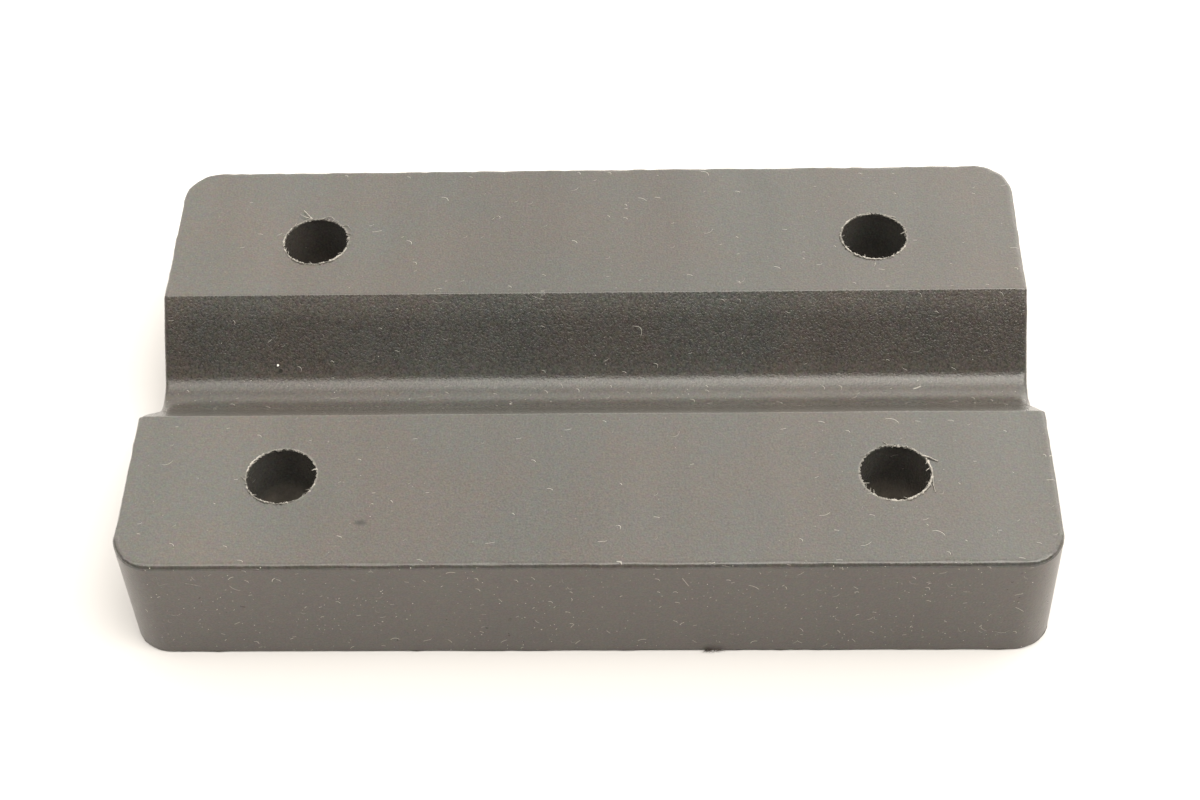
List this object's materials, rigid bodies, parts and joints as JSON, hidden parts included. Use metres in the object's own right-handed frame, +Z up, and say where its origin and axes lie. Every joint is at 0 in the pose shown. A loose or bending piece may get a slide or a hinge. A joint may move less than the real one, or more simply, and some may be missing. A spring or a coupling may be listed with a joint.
{
  "type": "mounting block",
  "caption": "Flat dark plastic block with rounded corners, a V-groove along the middle of its top that cradles a round rail, and plain through holes beside the groove for bolts or U-bolts.",
  "frame": {"origin": "centre of the underside, which is the bottom centre of the bounding box", "axes": "+X along the groove and the block's length, +Y across the groove towards the far land, +Z up out of the groove's mouth"},
  "size_m": [0.127, 0.0774, 0.0192],
  "materials": {
    "block_plastic": "dark charcoal polyethylene with a faint orange-peel grain, matt with a soft satin sheen; whitened torn burrs at the drilled holes"
  },
  "bodies": {
    "root": {"block": "block_plastic"}
  },
  "joints": []
}
